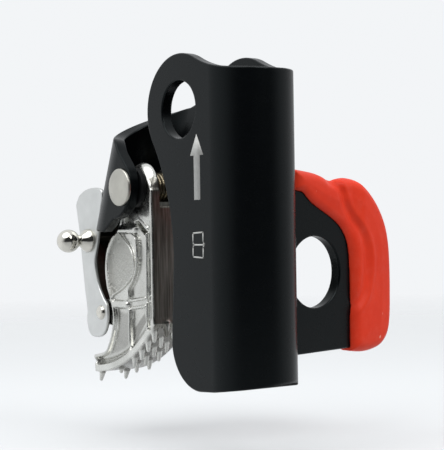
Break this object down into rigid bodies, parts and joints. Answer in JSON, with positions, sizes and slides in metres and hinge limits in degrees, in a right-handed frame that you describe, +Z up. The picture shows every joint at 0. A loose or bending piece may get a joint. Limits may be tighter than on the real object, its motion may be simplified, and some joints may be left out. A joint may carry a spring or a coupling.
{
  "type": "rope ascender",
  "caption": "Chest ascender with a bent-sheet rope channel, a toothed cam held open by a catch lever with a ball knob, and a rubber-covered rear grip flap.",
  "frame": {"origin": "on the axis of the rope channel, at half the height of the sheet frame", "axes": "+Z up along the rope, -Y the face of the front flange, -X towards the cam and its axle, +Y towards the grip"},
  "size_m": [0.0796, 0.0672, 0.0813],
  "materials": {
    "anodised_sheet": "black satin anodised",
    "red_rubber": "smooth moulded, slightly scuffed",
    "cast_steel": "cast and tumbled stainless",
    "stamped_steel": "satin stamped stainless",
    "rivet_steel": "satin, lightly pitted",
    "polished_steel": "polished",
    "spring_wire": "drawn, straw coloured",
    "washer_dark": "matt"
  },
  "bodies": {
    "body_frame": {"frame": "anodised_sheet", "grip_cover": "red_rubber", "axle_rivet": "rivet_steel", "axle_sleeve": "stamped_steel", "axle_washer_front": "washer_dark", "axle_washer_rear": "washer_dark", "axle_rear_collar": "rivet_steel", "cam_spring": "spring_wire"},
    "body_cam": {"cam": "cast_steel"},
    "body_catch": {"catch_lever": "stamped_steel", "catch_pivot": "rivet_steel", "catch_sleeve": "stamped_steel", "catch_spring": "spring_wire", "pull_knob": "polished_steel", "knob_washer": "rivet_steel"}
  },
  "joints": [
    {"name": "cam_swing", "type": "hinge", "parent": "body_frame", "child": "body_cam", "pos_m": [-0.0377, 0, 0.0091], "axis": [0, -1, 0], "range_deg": [0, 72], "deforming": ["cam_spring"]},
    {"name": "catch_swing", "type": "hinge", "parent": "body_cam", "child": "body_catch", "pos_m": [-0.0556, 0, -0.0231], "axis": [0, -1, 0], "range_deg": [0, 16], "stiffness_Nm_per_rad": 0.1, "springref_deg": -8.59, "deforming": ["catch_spring"]}
  ]
}
